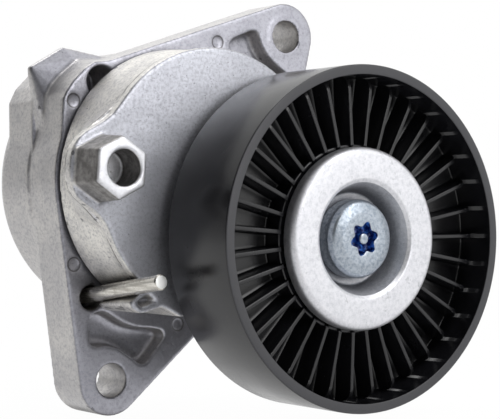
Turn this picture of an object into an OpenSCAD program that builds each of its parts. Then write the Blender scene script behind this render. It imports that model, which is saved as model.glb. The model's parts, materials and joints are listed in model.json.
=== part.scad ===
// Belt tensioner with idler pulley: die-cast base, sprung arm, ribbed pulley.
// Drawn with the arm pivot on +Z and turned at the end, so front is -Y.

/* [Pulley] */
// Outside diameter of the belt surface
pulley_d = 90; // [84:1:96]
// Axial width of the pulley rim
pulley_w = 26.1; // [22:0.1:30]
// Thickness of the rim wall
rim_t = 2.6; // [2:0.1:4]
// Number of ribs on each side of the web
rib_count = 35; // [24:1:40]
// Thickness of one rib
rib_t = 1.25; // [1:0.05:2]
// Depth from rim edge to the front edge of the ribs
rib_drop = 5.6; // [3:0.1:8]
// Depth from rim edge to the pocket floor
floor_drop = 11.6; // [9:0.1:14]

/* [Dust cap and bolt] */
// Dust cap outside diameter
cap_d = 47.6; // [42:0.2:48]
// Dust cap sheet thickness
cap_t = 0.8; // [0.6:0.1:1.2]
// Bolt head diameter
head_d = 20.5; // [18:0.1:22]
// Star recess, point to point
star_d = 8.9; // [7:0.1:10]

/* [Arm] */
// Height of the arm drum
drum_h = 20; // [16:0.5:24]
// Drum radius at the front face
drum_r = 35.2; // [33:0.1:36]
// Hexagon lug, distance across flats at the tip
lug_af = 14; // [12:0.5:17]
// Hexagon lug height above the arm face
lug_h = 10.8; // [8:0.2:12]

/* [Base] */
// Thickness of the mounting plate
plate_t = 15; // [12:0.5:18]
// Radius of the round middle of the plate
plate_r = 36.8; // [36:0.1:40]
// Radius of the two bolt ears
ear_r = 9.5; // [8:0.1:12]
// Bolt hole diameter
bolt_hole_d = 9; // [8.4:0.1:11]
// Depth of the spring cup behind the mounting face
cup_depth = 19; // [15:0.5:22]
// Depth of the lightening pockets
pocket_depth = 5; // [3:0.5:9]

/* [Spring and lock pin] */
// Spring wire diameter
wire_d = 5.2; // [4:0.1:6]
// Number of spring turns
spring_turns = 5.5; // [4:0.5:6]
// Lock pin diameter
pin_d = 4; // [3:0.1:5]
// Length of pin standing out of the plate
pin_out = 34.5; // [20:0.5:40]

/* [Hidden] */
$fn = 96;
eps = 0.01;

// stack along the axis: mounting face is 0, front is positive
drum_z0 = plate_t + 1;
arm_z = drum_z0 + drum_h;
flange_t = 3.6;
flange_z = arm_z - flange_t;
rim_front = 66;
rim_rear = rim_front - pulley_w;
pulley_r = pulley_d / 2;
pulley_c = [27, -15];

// base
ear_a = [37.9, 42.2];
ear_b = [-19.9, -52.9];
third_hole = [-22.9, 26.5];
third_hole_r = 4.2;
third_hole_depth = 12;
cup_r = 37.2;
cup_round = 5;
cup_floor = 4;
chamber_r = 30.2;
seam_w = 0.6;
seam_depth = 0.9;
post_r = 12;
post_z = 4;
shaft_r = 7;
mark_r = 1.8;
mark_depth = 0.4;
ring_h = 0.12;
ring_r = 6.1;
lug_front = [[-21.2, 32.1], [-24.9, 31.7], [-28.1, 29.7], [-31.2, 26.7], [-33.4, 23.7],
  [-34.4, 21.5], [-34.8, 14]];
lug_mid = [[-20, 33.2], [-24.8, 33], [-30.1, 28.6], [-32.7, 25.7], [-34.5, 22.6], [-34.8, 14]];
lug_rear = [[-19, 34.2], [-24.5, 36], [-27.4, 36.5], [-37.4, 30.6], [-37.2, 28.4], [-35.7, 21.4],
  [-34.8, 14]];
lug_root = [[-15, 20], [-8, 33]];
lug_rear_t = 1.8;
lug_mid_z = 5;
boss_rear = [[-36, 7], [-36.3, 21.5], [-34.4, 25.4], [-28.5, 31.4], [-20, 31], [-14, 20]];
boss_rear_z = 13;
bow_pocket = [[-26.9, -37.5], [-26.2, -35.8], [-24.8, -34.8], [-22.8, -34.4], [-21, -34.9],
  [-17.3, -37.2], [-14.9, -38.3], [-12.3, -39.1], [-7.3, -39.6], [-4.3, -40.2], [-3.4, -41.2],
  [-3.6, -42.4], [-8.6, -48.4], [-9.7, -49], [-11.1, -48.9], [-14.8, -46], [-17.9, -44.2],
  [-21.6, -43.4], [-24.4, -43.8], [-26.3, -42.9], [-26.9, -40.6]];
ear_pocket = [[18.4, 38.9], [19.5, 40.4], [25.8, 43.1], [27.6, 43], [28.3, 42],
  [29.3, 39.2], [31.6, 36], [34.8, 33.4], [38.4, 31.3], [39, 29.4], [38.2, 27.4],
  [33, 22.5], [30, 25.5], [26, 29.4], [21, 33.8]];
eject_marks = [[-31.3, 21.2], [14.4, 39.2], [-31.2, -21.8], [1.1, -38.8]];

// lock pin: leans as it comes forward, clear of the drum
pin_foot = [-25.9, -29.9, plate_t];
pin_lean = 7.6;
pin_in = 9;
pin_hole_gap = 0.15;
pin_mouth = [-26, -30.65];
pin_mouth_r = 3.3;
pin_mouth_depth = 5;

// arm
drum_rear_r = 36.2;
drum_neck_r = 34.9;
skirt_z = 7;
skirt_r = 28.85;
spring_bay_r = 27.2;
ledge_r = 20;
ledge_z = 24.6;
hub_r = 13;
hub_z = 5;
arm_wall_z = 30;
end_recess_r = 11.4;
end_recess_z = arm_z - 2;
lug_c = [-35.4, 2.85];
lug_hole_c = [-34.7, 2.85];
lug_relief = [[-24, 15], [-50, 15], [-50, 45], [-8, 45], [-21, 31]];
lug_end_angle = 162;
lug_turn = -4;
lug_draft = 1.08;
lug_tip_chamfer = 0.5;
lug_hole_r = 4.5;
lug_hole_depth = 8.8;
lug_chamfer = 0.5;
bulge = [[-28.3, 20.9], [-31.6, 16.9], [-34.2, 14.9], [-37.2, 13.3], [-39.6, 12],
  [-41.6, 10.4], [-43, 8.3], [-43.8, 5.7], [-44.1, 2.9], [-43.9, 0.3], [-43.2, -2.2],
  [-41.8, -4.4], [-39.6, -6], [-36.9, -7.7], [-34.9, -9.5], [-33.5, -11.4],
  [-32.7, -13.1]];
gusset_z = 19;
gusset_fit = 0.96;
gusset_foot = [[-29, 17], [-33.8, 5], [-33.8, 0], [-31.8, -12]];
boss_r = 13.5;
spigot_r = 12;
tab = [[-20.5, -26], [-26.8, -31], [-26.3, -32.4], [-23.6, -33.9], [-22, -33.7],
  [-17.2, -32.4], [-11.4, -35.2], [-10.2, -35.1], [-8, -30]];
tab_pocket = [[-24.6, -30.7], [-24.4, -31.8], [-23.2, -32.5], [-18.6, -31.2],
  [-21.2, -28.7]];
tab_pocket_floor = [[-23.2, -30.5], [-23.5, -31.2], [-20.6, -30.6]];
tab_pocket_depth = 2.6;
tab_z = 18;
pin_channel_r = 2.35;

// pivot parts
bush_t = 1.6;
pivot_gap = 0.05;
washer_t = 0.9;
end_plate_t = 2.95;
spigot_end_r = 4.8;
rivet_r = 6;
rivet_t = 1.3;
shaft_head_r = 10.5;
shaft_head_t = 1.6;

// bearing, 17 x 40 x 12
brg_z = 44.5;
brg_w = 12;
brg_in_r = 8.5;
brg_out_r = 20;
inner_shoulder_r = 11.9;
outer_shoulder_r = 16.7;
ball_count = 8;
ball_r = 3.35;
pitch_r = (brg_in_r + brg_out_r) / 2;
groove_r = 3.42;
brg_mid = brg_z + brg_w / 2;
seal_t = 0.9;
seal_in = 0.5;
cage_z = [brg_mid - 4.4, brg_mid + 0.8];
cage_in_r = 13.1;
cage_out_r = 15.5;
cage_hole_r = 3.55;
sleeve_in_r = 5.1;
bolt_r = 4.98;
bolt_tail_z = 24;

// pulley
hub_out_r = 24.6;
hub_front = rim_front - 6.4;
hub_rear = 43.4;
lip_r = 18.9;
rib_front = rim_front - rib_drop;
web_front = rim_front - floor_drop;
web_t = 3;
web_rear = web_front - web_t;
rib_rear = rim_rear + rib_drop;
rib_round = 3.4;
rim_in_r = pulley_r - rim_t;
rim_chamfer = 0.4;

// cap and bolt head
cap_r = cap_d / 2;
cap_face = rim_front - 1.6;
cap_floor = brg_z + brg_w + cap_t;
cap_dish_r = 11.7;
cap_lip_r = 15.4;
cap_roll = 2.2;
cap_skirt = 3.8;
head_r = head_d / 2;
head_face = 63.8;
star_depth = 3;
star_turn = 14;
post_in_star_r = 1.45;

// spring and seats
chamber_z = cup_floor - cup_depth;
seat_t = 1.5;
spring_z0 = chamber_z + seat_t + 0.1;
spring_z1 = ledge_z - seat_t - 0.4;
spring_r = 23.4;
spring_steps = 26;
wire_sides = 10;
sleeve_wall_r = [14.6, 16];
sleeve_top = 21;
seat_r = [17, 27];

function arc(c, r, a0, a1, n) =
  [for (i = [0:n]) let (a = a0 + (a1 - a0) * i / n) [c[0] + r * cos(a), c[1] + r * sin(a)]];
function dir(v) = atan2(v[1], v[0]);
function wrap(c, r_big, r_small) = acos((r_big - r_small) / norm(c));

module at_pulley() translate([pulley_c[0], pulley_c[1], 0]) children();

module ring(r_in, r_out, z0, z1) {
  translate([0, 0, z0]) difference() {
    cylinder(r = r_out, h = z1 - z0);
    translate([0, 0, -1]) cylinder(r = r_in, h = z1 - z0 + 2);
  }
}

module slab(points, z0, z1) translate([0, 0, z0]) linear_extrude(z1 - z0) polygon(points);

module along_pin() translate(pin_foot) rotate([-pin_lean, 0, 0]) children();

// ---------- base ----------

module plate_outline(middle_r) {
  a = dir(ear_a);
  aw = wrap(ear_a, middle_r, ear_r);
  b = dir(ear_b) + 360;
  bw = wrap(ear_b, middle_r, ear_r);
  polygon(concat(
    arc(ear_a, ear_r, a - aw, a + aw, 24),
    lug_front,
    arc([0, 0], middle_r, lug_end_angle, b - bw, 12),
    arc(ear_b, ear_r, b - bw, b + bw, 24),
    arc([0, 0], middle_r, b + bw, 360 + a - aw, 12)));
}

// corner lug: thin outer flange at the back, a valley, then the front face
module corner_lug() {
  hull() {
    slab(concat(lug_rear, lug_root), 0, lug_rear_t);
    slab(concat(lug_mid, lug_root), lug_mid_z - eps, lug_mid_z);
  }
  hull() {
    slab(concat(lug_mid, lug_root), lug_mid_z - eps, lug_mid_z);
    slab(concat(lug_front, lug_root), plate_t - 1, plate_t);
  }
}

module cup_body() {
  rotate_extrude() polygon(concat(
    [[0, plate_t - 2], [chamber_r + 4, plate_t - 2], [plate_r - seam_depth, seam_w],
      [plate_r - seam_depth, 0], [cup_r, 0]],
    arc([cup_r - cup_round, cup_round - cup_depth], cup_round, 0, -90, 6),
    [[0, -cup_depth]]));
}

module base_housing() {
  color([0.62, 0.62, 0.63]) difference() {
    union() {
      difference() {
        union() {
          linear_extrude(plate_t) plate_outline(plate_r - seam_depth);
          translate([0, 0, seam_w]) linear_extrude(plate_t - seam_w) plate_outline(plate_r);
        }
        slab(lug_relief, -1, lug_mid_z);
      }
      corner_lug();
      cup_body();
      slab(boss_rear, -boss_rear_z, 1);
      translate([ear_a[0], ear_a[1], plate_t - 1]) cylinder(r = ring_r, h = 1 + ring_h);
    }
    translate([0, 0, chamber_z]) cylinder(r = chamber_r, h = plate_t - chamber_z + 1);
    for (c = [ear_a, ear_b])
      translate([c[0], c[1], -1]) cylinder(r = bolt_hole_d / 2, h = plate_t + 3);
    translate([third_hole[0], third_hole[1], plate_t - third_hole_depth])
      cylinder(r = third_hole_r, h = third_hole_depth + 2);
    for (p = [bow_pocket, ear_pocket]) slab(p, plate_t - pocket_depth, plate_t + 1);
    for (c = eject_marks)
      translate([c[0], c[1], plate_t - mark_depth]) cylinder(r = mark_r, h = 1);
    along_pin() translate([0, 0, -pin_in - 0.5])
      cylinder(r = pin_d / 2 + pin_hole_gap, h = pin_in + 3);
    translate([pin_mouth[0], pin_mouth[1], plate_t - pin_mouth_depth])
      cylinder(r = pin_mouth_r, h = pin_mouth_depth + 1);
    translate([0, 0, -cup_depth - 1]) cylinder(r = shaft_r, h = cup_depth);
  }
  color([0.62, 0.62, 0.63]) ring(shaft_r, post_r, chamber_z - eps, post_z);
}

module pivot_shaft() {
  color([0.55, 0.56, 0.58]) union() {
    translate([0, 0, -cup_depth]) cylinder(r = shaft_r, h = cup_depth + end_plate_z());
    translate([0, 0, -cup_depth - shaft_head_t]) cylinder(r = shaft_head_r, h = shaft_head_t);
    cylinder(r = spigot_end_r, h = end_plate_z() + end_plate_t);
    translate([0, 0, end_plate_z() + end_plate_t]) cylinder(r1 = rivet_r, r2 = spigot_end_r,
      h = rivet_t);
  }
}

function end_plate_z() = end_recess_z + pivot_gap + washer_t + pivot_gap;

module pivot_end_plate()
  color([0.5, 0.51, 0.52]) ring(spigot_end_r, end_recess_r - 0.9, end_plate_z(),
    end_plate_z() + end_plate_t);

module rear_thrust_washer()
  color([0.85, 0.8, 0.65]) ring(shaft_r + 0.3, post_r + 0.5, post_z,
    post_z + washer_t + pivot_gap);

module front_thrust_washer()
  color([0.85, 0.8, 0.65]) ring(shaft_r + 0.3, end_recess_r - 0.7, end_recess_z + pivot_gap,
    end_plate_z());

module damper_band()
  color([0.25, 0.25, 0.26]) ring(skirt_r + pivot_gap, chamber_r, skirt_z - 0.5, plate_t - 0.5);

module dust_ring()
  color([0.12, 0.12, 0.12]) ring(chamber_r + 0.4, drum_neck_r - 0.3, plate_t, plate_t + 0.7);

module rear_spring_seat()
  color([0.2, 0.2, 0.2]) ring(seat_r[0], seat_r[1], chamber_z, chamber_z + seat_t);

module spring_sleeve()
  color([0.2, 0.2, 0.2]) ring(sleeve_wall_r[0], sleeve_wall_r[1], chamber_z, sleeve_top);

// one solid of revolution swept up a helix, closed by flat ends
module torsion_spring() {
  n = floor(spring_turns * spring_steps);
  w = wire_d / 2;
  rise = spring_z1 - spring_z0 - wire_d;
  points = [for (i = [0:n]) for (j = [0:wire_sides - 1])
    let (a = 360 * spring_turns * i / n, b = 360 * j / wire_sides, r = spring_r + w * cos(b))
    [r * cos(a), r * sin(a), spring_z0 + w + rise * i / n + w * sin(b)]];
  m = wire_sides;
  sides = [for (i = [0:n - 1]) for (j = [0:m - 1]) let (k = (j + 1) % m, s = i * m)
    for (f = [[s + j, s + m + j, s + k], [s + k, s + m + j, s + m + k]]) f];
  color([0.3, 0.31, 0.33]) polyhedron(points,
    concat([[for (j = [0:m - 1]) j]], sides, [[for (j = [m - 1:-1:0]) n * m + j]]));
}

// ---------- arm ----------

module arm_outline() {
  p = dir(pulley_c);
  w = wrap(pulley_c, drum_r, boss_r);
  polygon(concat(
    arc(pulley_c, boss_r, p - w, p + w, 24),
    arc([0, 0], drum_r, p + w, 142, 24),
    bulge,
    arc([0, 0], drum_r, 203, 360 + p - w, 20)));
}

module hex_lug() {
  r_tip = lug_af / 2 / cos(30);
  shank = lug_h - lug_tip_chamfer;
  translate([lug_c[0], lug_c[1], arm_z - eps]) rotate([0, 0, 90 + lug_turn]) {
    cylinder(r1 = r_tip * lug_draft, r2 = r_tip, h = shank + eps, $fn = 6);
    translate([0, 0, shank]) cylinder(r1 = r_tip, r2 = r_tip - lug_tip_chamfer,
      h = lug_tip_chamfer + eps, $fn = 6);
  }
}

module drum_body() {
  rotate_extrude() polygon([[end_recess_r, arm_z], [end_recess_r, end_recess_z],
    [shaft_r + pivot_gap + bush_t, end_recess_z], [shaft_r + pivot_gap + bush_t, hub_z],
    [hub_r, hub_z], [hub_r, arm_wall_z], [ledge_r, arm_wall_z], [ledge_r, ledge_z],
    [spring_bay_r, ledge_z], [spring_bay_r, skirt_z], [skirt_r, skirt_z],
    [skirt_r, drum_z0], [drum_rear_r, drum_z0], [drum_neck_r, flange_z],
    [drum_neck_r, arm_z]]);
}

module arm_casting() {
  color([0.7, 0.7, 0.71]) difference() {
    union() {
      drum_body();
      difference() {
        translate([0, 0, flange_z]) linear_extrude(flange_t) arm_outline();
        translate([0, 0, flange_z - 1]) cylinder(r = end_recess_r, h = flange_t + 2);
      }
      hull() {
        slab([for (p = bulge) lug_c + (p - lug_c) * gusset_fit], flange_z, flange_z + 1);
        slab(gusset_foot, gusset_z, gusset_z + 1);
      }
      at_pulley() translate([0, 0, ledge_z + 0.5])
        cylinder(r = boss_r - 0.5, h = flange_z - ledge_z);
      at_pulley() translate([0, 0, arm_z - 1])
        cylinder(r = spigot_r, h = brg_z - cap_t - arm_z + 1);
      hex_lug();
      difference() {
        slab(tab, tab_z, arm_z);
        hull() {
          slab(tab_pocket, arm_z, arm_z + 1);
          slab(tab_pocket_floor, arm_z - tab_pocket_depth, arm_z);
        }
      }
    }
    at_pulley() translate([0, 0, bolt_tail_z - 1]) cylinder(r = bolt_r + 0.04, h = brg_z);
    translate([lug_hole_c[0], lug_hole_c[1], arm_z + lug_h - lug_hole_depth]) {
      cylinder(r = lug_hole_r, h = lug_hole_depth + 1);
      translate([0, 0, lug_hole_depth - lug_chamfer])
        cylinder(r1 = lug_hole_r, r2 = lug_hole_r + 2 * lug_chamfer, h = 2 * lug_chamfer);
    }
    along_pin() cylinder(r = pin_channel_r, h = pin_out + 5);
  }
}

module pivot_bush()
  color([0.6, 0.45, 0.25]) ring(shaft_r + pivot_gap, shaft_r + pivot_gap + bush_t,
    hub_z + 0.5, end_recess_z - 0.5);

module front_spring_seat()
  color([0.2, 0.2, 0.2]) ring(ledge_r + 0.5, spring_bay_r - 0.3, ledge_z - seat_t, ledge_z);

// ---------- bearing and pulley ----------

module bearing_sleeve()
  color([0.6, 0.61, 0.62]) at_pulley() ring(sleeve_in_r, brg_in_r, brg_z, brg_z + brg_w);

// pressed washer, dished away from the turning outer ring
module rear_shield() color([0.6, 0.61, 0.62]) at_pulley() rotate_extrude() polygon([
  [sleeve_in_r, brg_z - cap_t], [spigot_r + 0.2, brg_z - cap_t],
  [spigot_r + 1.2, brg_z - cap_t - 0.5], [lip_r - 0.9, brg_z - cap_t - 0.5],
  [lip_r - 0.9, brg_z - 0.5], [spigot_r + 1.4, brg_z - 0.5], [spigot_r + 0.6, brg_z],
  [sleeve_in_r, brg_z]]);

module raceway(r) translate([0, 0, brg_mid]) rotate_extrude() translate([r, 0]) circle(groove_r);

module bearing_inner_ring()
  color([0.75, 0.76, 0.78]) at_pulley() difference() {
    ring(brg_in_r, inner_shoulder_r, brg_z, brg_z + brg_w);
    raceway(pitch_r);
  }

module bearing_outer_ring()
  color([0.75, 0.76, 0.78]) at_pulley() difference() {
    ring(outer_shoulder_r, brg_out_r, brg_z, brg_z + brg_w);
    raceway(pitch_r);
  }

module seal(z)
  color([0.1, 0.1, 0.1]) at_pulley() ring(inner_shoulder_r + 0.3, outer_shoulder_r, z, z + seal_t);

module front_seal() seal(brg_z + brg_w - seal_in - seal_t);
module rear_seal() seal(brg_z + seal_in);

module ball(i) color([0.8, 0.81, 0.83]) at_pulley()
  rotate([0, 0, 360 * (i - 1) / ball_count]) translate([pitch_r, 0, brg_mid]) sphere(ball_r);

module bearing_cage() color([0.35, 0.3, 0.22]) at_pulley() difference() {
  ring(cage_in_r, cage_out_r, cage_z[0], cage_z[1]);
  for (i = [1:ball_count]) rotate([0, 0, 360 * (i - 1) / ball_count])
    translate([pitch_r, 0, brg_mid]) sphere(cage_hole_r);
}

module front_rib() rotate([90, 0, 0]) translate([0, 0, -rib_t / 2]) linear_extrude(rib_t)
  polygon(concat([[hub_out_r - 0.5, web_front - 0.5], [rim_in_r + 0.5, web_front - 0.5],
    [rim_in_r + 0.5, rib_front - rib_round]],
    arc([rim_in_r - rib_round, rib_front - rib_round], rib_round, 0, 90, 5),
    [[hub_out_r - 0.5, rib_front]]));

module rear_rib() translate([hub_out_r - 0.5, -rib_t / 2, rib_rear])
  cube([rim_in_r - hub_out_r + 1, rib_t, web_rear - rib_rear + 0.5]);

module pulley_wheel() color([0.08, 0.08, 0.09]) at_pulley() union() {
  rotate_extrude() polygon([[lip_r, brg_z + brg_w], [lip_r, brg_z + brg_w + 1],
    [brg_out_r, brg_z + brg_w + 1.6], [brg_out_r + 1, hub_front], [hub_out_r, hub_front],
    [hub_out_r + 0.2, web_front], [rim_in_r, web_front], [rim_in_r, rim_front],
    [pulley_r - rim_chamfer, rim_front], [pulley_r, rim_front - rim_chamfer],
    [pulley_r, rim_rear + rim_chamfer], [pulley_r - rim_chamfer, rim_rear],
    [rim_in_r, rim_rear], [rim_in_r, web_rear], [hub_out_r, web_rear],
    [hub_out_r, hub_rear], [lip_r, hub_rear], [lip_r, brg_z], [brg_out_r, brg_z],
    [brg_out_r, brg_z + brg_w]]);
  for (i = [0:rib_count - 1]) rotate([0, 0, 360 * i / rib_count + 0.5]) {
    front_rib();
    rear_rib();
  }
}

module dust_cap() color([0.8, 0.81, 0.82]) at_pulley() rotate_extrude() polygon([
  [sleeve_in_r, cap_floor], [cap_dish_r - 0.5, cap_floor], [cap_dish_r + 0.4, cap_floor + 0.5],
  [cap_lip_r - 0.9, cap_face - 1], [cap_lip_r, cap_face], [cap_r - cap_roll, cap_face],
  [cap_r - 0.9, cap_face - 0.5], [cap_r - 0.25, cap_face - 1.3], [cap_r, cap_face - cap_roll],
  [cap_r, cap_face - cap_skirt], [cap_r - cap_t, cap_face - cap_skirt],
  [cap_r - cap_t, cap_face - cap_roll], [cap_r - cap_roll, cap_face - cap_t],
  [cap_lip_r + 0.6, cap_face - cap_t],
  [cap_lip_r, cap_face - 1.4], [cap_dish_r + 1.1, cap_floor - 0.1],
  [cap_dish_r, cap_floor - cap_t], [sleeve_in_r, cap_floor - cap_t]]);

function star(r_out, r_in) = [for (i = [0:71]) let (a = 5 * i,
  r = (r_out + r_in) / 2 + (r_out - r_in) / 2 * cos(6 * a)) [r * cos(a), r * sin(a)]];

module pulley_bolt() color([0.62, 0.64, 0.68]) at_pulley() {
  difference() {
    rotate_extrude() polygon([[0, bolt_tail_z], [bolt_r - 0.8, bolt_tail_z],
      [bolt_r, bolt_tail_z + 0.8], [bolt_r, cap_floor], [head_r, cap_floor],
      [head_r, head_face - 2.6], [head_r - 0.4, head_face - 1.5],
      [head_r - 1.4, head_face - 0.6], [head_r - 2.9, head_face - 0.1],
      [head_r - 4, head_face], [0, head_face]]);
    translate([0, 0, head_face - star_depth]) rotate([0, 0, star_turn])
      linear_extrude(star_depth + 1) difference() {
        polygon(star(star_d / 2, star_d / 2 * 0.72));
        circle(post_in_star_r);
      }
  }
}

module lock_pin() color([0.72, 0.72, 0.7]) along_pin() union() {
  translate([0, 0, -pin_in]) cylinder(r1 = pin_d / 2 - 0.6, r2 = pin_d / 2, h = 1);
  translate([0, 0, 1 - pin_in]) cylinder(r = pin_d / 2, h = pin_in - 1 + pin_out);
  translate([0, 0, pin_out]) cylinder(r1 = pin_d / 2, r2 = pin_d / 2 - 0.25, h = 0.3);
}

rotate([90, 0, 0]) {
  base_housing();
  pivot_shaft();
  pivot_end_plate();
  rear_thrust_washer();
  front_thrust_washer();
  damper_band();
  dust_ring();
  rear_spring_seat();
  spring_sleeve();
  torsion_spring();
  arm_casting();
  pivot_bush();
  front_spring_seat();
  bearing_sleeve();
  rear_shield();
  bearing_inner_ring();
  dust_cap();
  pulley_bolt();
  bearing_outer_ring();
  front_seal();
  rear_seal();
  pulley_wheel();
  bearing_cage();
  ball(1);  // ball_1
  ball(2);  // ball_2
  ball(3);  // ball_3
  ball(4);  // ball_4
  ball(5);  // ball_5
  ball(6);  // ball_6
  ball(7);  // ball_7
  ball(8);  // ball_8
  lock_pin();
}
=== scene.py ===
"""Looks of a belt tensioner with its idler pulley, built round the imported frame.

Shapes are worked out in the part's own millimetres, with the arm pivot on +Z and the front
positive, and are then turned into the row frame, where the front is -Y.
"""

import json
import math

import bmesh
import bpy
import numpy as np
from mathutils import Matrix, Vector, noise


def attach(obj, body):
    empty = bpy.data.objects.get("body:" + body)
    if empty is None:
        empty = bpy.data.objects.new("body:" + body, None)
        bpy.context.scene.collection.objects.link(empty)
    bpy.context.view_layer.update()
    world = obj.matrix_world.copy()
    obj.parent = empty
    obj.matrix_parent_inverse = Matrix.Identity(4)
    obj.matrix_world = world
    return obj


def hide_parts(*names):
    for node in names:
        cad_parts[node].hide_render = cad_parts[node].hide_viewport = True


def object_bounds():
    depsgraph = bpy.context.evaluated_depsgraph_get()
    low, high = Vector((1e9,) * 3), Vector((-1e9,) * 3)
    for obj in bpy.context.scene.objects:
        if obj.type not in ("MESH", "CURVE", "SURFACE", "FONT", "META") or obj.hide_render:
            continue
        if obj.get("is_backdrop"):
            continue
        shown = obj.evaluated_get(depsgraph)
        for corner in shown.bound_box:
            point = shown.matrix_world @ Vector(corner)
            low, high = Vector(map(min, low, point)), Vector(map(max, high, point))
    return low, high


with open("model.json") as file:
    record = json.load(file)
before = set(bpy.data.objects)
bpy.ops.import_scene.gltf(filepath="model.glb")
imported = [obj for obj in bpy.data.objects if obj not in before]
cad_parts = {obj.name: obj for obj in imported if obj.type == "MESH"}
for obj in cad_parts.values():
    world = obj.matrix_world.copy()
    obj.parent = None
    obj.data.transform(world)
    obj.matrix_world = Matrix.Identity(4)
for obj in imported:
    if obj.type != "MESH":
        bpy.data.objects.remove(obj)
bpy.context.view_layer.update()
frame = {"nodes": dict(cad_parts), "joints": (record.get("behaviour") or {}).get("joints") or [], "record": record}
MM = 0.001


# ---------------------------------------------------------------- measures

def to_local(p):
    """Row-frame metres to the part's millimetres."""
    p = np.asarray(p, float) / MM
    return np.stack([p[..., 0], p[..., 2], -p[..., 1]], -1)


def to_row(p):
    """The part's millimetres to row-frame metres."""
    p = np.asarray(p, float) * MM
    return np.stack([p[..., 0], -p[..., 2], p[..., 1]], -1)


def cad_points(node):
    mesh = frame["nodes"][node].data
    co = np.empty(len(mesh.vertices) * 3)
    mesh.vertices.foreach_get("co", co)
    return to_local(co.reshape(-1, 3))


def joint(name):
    return next(j for j in frame["joints"] if j["name"] == name)


def span(node):
    """Low and high corner of a node in local millimetres."""
    p = cad_points(node)
    return p.min(0), p.max(0)


def radii(node, centre):
    """Smallest and largest distance of a node's corners from an axis along z."""
    p = cad_points(node)[:, :2] - np.asarray(centre)
    r = np.hypot(p[:, 0], p[:, 1])
    return r.min(), r.max()


def mount(name):
    """Where a mount of the record is, in local millimetres."""
    return to_local(next(m for m in frame["record"]["mounts"] if m["name"] == name)["pos_m"])


PIVOT = np.zeros(2)
LUG = mount("wrench_hexagon")
PULLEY = to_local(joint("pulley_spin")["pos_m"])[:2]
# The frame doesn't name the round marks on the plate, so these repeat the CAD's values.
EJECTOR_MARKS = [(-31.3, 21.2), (14.4, 39.2), (-31.2, -21.8), (1.1, -38.8)]
MARK_RADIUS = 1.8
# Low and high corner of the area round each lightening pocket, and the hole beside it.
POCKETS = [((-28.5, -49.6), (-2.5, -33.4), "bolt_hole_lower"),
           ((17.0, 21.0), (40.0, 44.0), "bolt_hole_upper")]
# The sheet of the dust cap, which is as thick as in the CAD.
CAP_SHEET = 0.8
# A skinned casting is thinned to this, which stays below the library's 200,000.
MOST_TRIANGLES = 190000


# ---------------------------------------------------------------- finishes

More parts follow.
